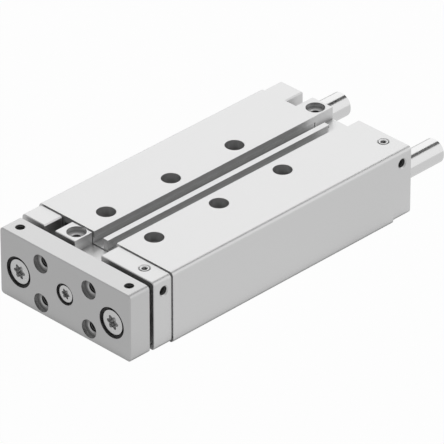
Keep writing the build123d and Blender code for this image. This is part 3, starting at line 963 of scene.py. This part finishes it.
def black_card():
    """Matt black card, which reflects next to nothing."""
    card = bpy.data.materials.new("black_card")
    card.use_nodes = True
    card.node_tree.nodes.clear()
    matt = add_node(card, "ShaderNodeBsdfDiffuse", {"Color": (0.01, 0.01, 0.01, 1)})
    add_node(card, "ShaderNodeOutputMaterial", {}, {"Surface": matt.outputs["BSDF"]})
    return card


def black_flag(azimuth, elevation, width, height):
    """A black card that only reflections see: it draws the dark line along the polished rods.

    The angles are in degrees, as in direction.
    """
    away = direction(math.radians(azimuth), math.radians(elevation))
    across = Vector((0, 0, 1)).cross(away).normalized()
    up = away.cross(across)
    middle = away * settings().studio.lamp_distance
    corners = [
        middle + across * i * width / 2 + up * j * height / 2
        for i, j in ((-1, -1), (1, -1), (1, 1), (-1, 1))
    ]
    flag = stage_card("black_flag", corners, black_card())
    flag.visible_camera = flag.visible_diffuse = flag.visible_shadow = False


def white_paper():
    """White paper: a diffuse floor that keeps the object's shadow.

    For the camera most of its white is its own. Reflections in the metal see its glow greyer, with
    painted light that grows lighter towards the lamps at the rear right and a painted shadow in narrow gaps.
    """
    own = settings().studio
    rear_right = (0.7, 0.7, 0)
    paper = bpy.data.materials.new("white_paper")
    paper.use_nodes = True
    paper.node_tree.nodes.clear()
    output = add_node(paper, "ShaderNodeOutputMaterial")
    rays = add_node(paper, "ShaderNodeLightPath")
    matt = add_node(paper, "ShaderNodeBsdfDiffuse", {"Color": (*own.floor, 1)})
    # Painted shadow: the glow in reflections dims where walls stand near
    openness = add_node(
        paper, "ShaderNodeAmbientOcclusion", {"Distance": own.gap_reach}, samples=6
    )
    place = add_node(paper, "ShaderNodeTexCoord")
    towards_lamps = add_node(
        paper,
        "ShaderNodeVectorMath",
        {1: rear_right},
        {0: place.outputs["Object"]},
        operation="DOT_PRODUCT",
    )
    # Painted light: the glow in reflections grows lighter towards the lamps at the rear right
    painted_lamp_light = add_node(
        paper,
        "ShaderNodeMapRange",
        {
            "From Min": own.grey_end,
            "From Max": own.white_start,
            "To Min": own.reflected_front,
            "To Max": own.reflected_rear,
        },
        {"Value": towards_lamps.outputs["Value"]},
        interpolation_type="SMOOTHSTEP",
    )
    reflected = add_node(
        paper,
        "ShaderNodeMath",
        {},
        {0: openness.outputs["AO"], 1: painted_lamp_light.outputs["Result"]},
        operation="MULTIPLY",
    )
    strength = add_node(
        paper,
        "ShaderNodeMix",
        {"B": 1.0},
        {"Factor": rays.outputs["Is Camera Ray"], "A": reflected.outputs["Value"]},
    )
    white = add_node(
        paper,
        "ShaderNodeEmission",
        {"Color": (1, 1, 1, 1)},
        {"Strength": strength.outputs["Result"]},
    )
    own_white = add_node(
        paper,
        "ShaderNodeMath",
        {1: own.seen_white},
        {0: rays.outputs["Is Camera Ray"], 2: rays.outputs["Is Glossy Ray"]},
        operation="MULTIPLY_ADD",
    )
    mixed = add_node(
        paper,
        "ShaderNodeMixShader",
        {},
        {0: own_white.outputs["Value"], 1: matt.outputs["BSDF"], 2: white.outputs["Emission"]},
    )
    paper.node_tree.links.new(mixed.outputs["Shader"], output.inputs["Surface"])
    return paper


def studio_world():
    """White for the camera, a grey sky in reflections and a faint light from all round."""
    own = settings().studio
    world = bpy.data.worlds.new("studio")
    world.use_nodes = True
    world.node_tree.nodes.clear()
    output = add_node(world, "ShaderNodeOutputWorld")
    rays = add_node(world, "ShaderNodeLightPath")
    sky = add_node(
        world,
        "ShaderNodeMath",
        {1: own.reflected_sky, 2: own.world_light},
        {0: rays.outputs["Is Glossy Ray"]},
        operation="MULTIPLY_ADD",
    )
    strength = add_node(
        world,
        "ShaderNodeMath",
        {},
        {0: sky.outputs["Value"], 1: rays.outputs["Is Camera Ray"]},
        operation="MAXIMUM",
    )
    white = add_node(
        world,
        "ShaderNodeBackground",
        {"Color": (1, 1, 1, 1)},
        {"Strength": strength.outputs["Value"]},
    )
    world.node_tree.links.new(white.outputs["Background"], output.inputs["Surface"])
    return world


def photo_camera():
    """A camera at the photograph's viewing angle."""
    own = settings().studio
    right = Vector((math.cos(own.azimuth), math.sin(own.azimuth), 0))
    back = direction(own.azimuth, own.elevation)
    up = back.cross(right)
    lens = bpy.data.cameras.new("camera")
    lens.lens = own.focal_length
    lens.sensor_width = 36
    lens.clip_start, lens.clip_end = 0.1, 20
    camera = bpy.data.objects.new("camera", lens)
    camera.location = back * own.distance + right * own.right + up * own.up
    camera.rotation_euler = (-back).to_track_quat("-Z", "Y").to_euler()
    bpy.context.scene.collection.objects.link(camera)
    return camera


class CYLINDER_OT_studio(bpy.types.Operator):
    """Sets up the floor, the lamps, the world and the camera"""

    bl_idname = "cylinder.studio"
    bl_label = "Studio"

    def execute(self, context):
        own = settings().studio
        scene = context.scene
        scene.view_settings.view_transform = "Standard"
        half = own.floor_size / 2
        corners = [(-half, -half, 0), (half, -half, 0), (half, half, 0), (-half, half, 0)]
        stage_card("floor", corners, white_paper())
        scene.world = studio_world()
        softbox(
            "rear_left_softbox",
            azimuth=223,
            elevation=29,
            width=2.7,
            height=1.85,
            brightness=own.rear_left,
        )
        softbox(
            "rear_right_softbox",
            azimuth=136,
            elevation=23,
            width=1.5,
            height=1.75,
            brightness=own.rear_right,
        )
        black_flag(azimuth=173, elevation=52.5, width=0.74, height=0.4)
        scene.camera = photo_camera()
        return {"FINISHED"}


# Add-on


class GuidedCylinderSettings(bpy.types.PropertyGroup):
    """All the settings of the cylinder."""

    finish: PointerProperty(name="Finish", description="Colours and grain", type=FinishSettings)
    screws: PointerProperty(name="Screws", description="Screws and plugs", type=ScrewSettings)
    threads: PointerProperty(name="Threads", description="Tapped holes", type=ThreadSettings)
    studio: PointerProperty(name="Studio", description="Camera and lamps", type=StudioSettings)


OPERATORS = (
    CYLINDER_OT_profile_finish,
    CYLINDER_OT_milled_finish,
    CYLINDER_OT_rod_finish,
    CYLINDER_OT_inner_finish,
    CYLINDER_OT_rod_screws,
    CYLINDER_OT_cap_screws,
    CYLINDER_OT_port_plugs,
    CYLINDER_OT_threads,
    CYLINDER_OT_studio,
)


class CYLINDER_PT_panel(bpy.types.Panel):
    """Lists the cylinder's pieces and its studio."""

    bl_idname = "CYLINDER_PT_panel"
    bl_label = "Guided cylinder"
    bl_space_type = "VIEW_3D"
    bl_region_type = "UI"
    bl_category = "Cylinder"

    def draw(self, context):
        for operator in OPERATORS:
            self.layout.operator(operator.bl_idname)


SETTINGS = (FinishSettings, ScrewSettings, ThreadSettings, StudioSettings, GuidedCylinderSettings)


def register():
    """Registers the settings, the operators and the panel."""
    for item in (*SETTINGS, *OPERATORS, CYLINDER_PT_panel):
        bpy.utils.register_class(item)
    bpy.types.Scene.guided_cylinder = PointerProperty(type=GuidedCylinderSettings)


def unregister():
    """Removes what register added."""
    del bpy.types.Scene.guided_cylinder
    for item in reversed((*SETTINGS, *OPERATORS, CYLINDER_PT_panel)):
        bpy.utils.unregister_class(item)


def main():
    """Registers the add-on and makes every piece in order."""
    register()
    for operator in OPERATORS:
        group, name = operator.bl_idname.split(".")
        getattr(getattr(bpy.ops, group), name)()


if __name__ == "__main__":
    main()
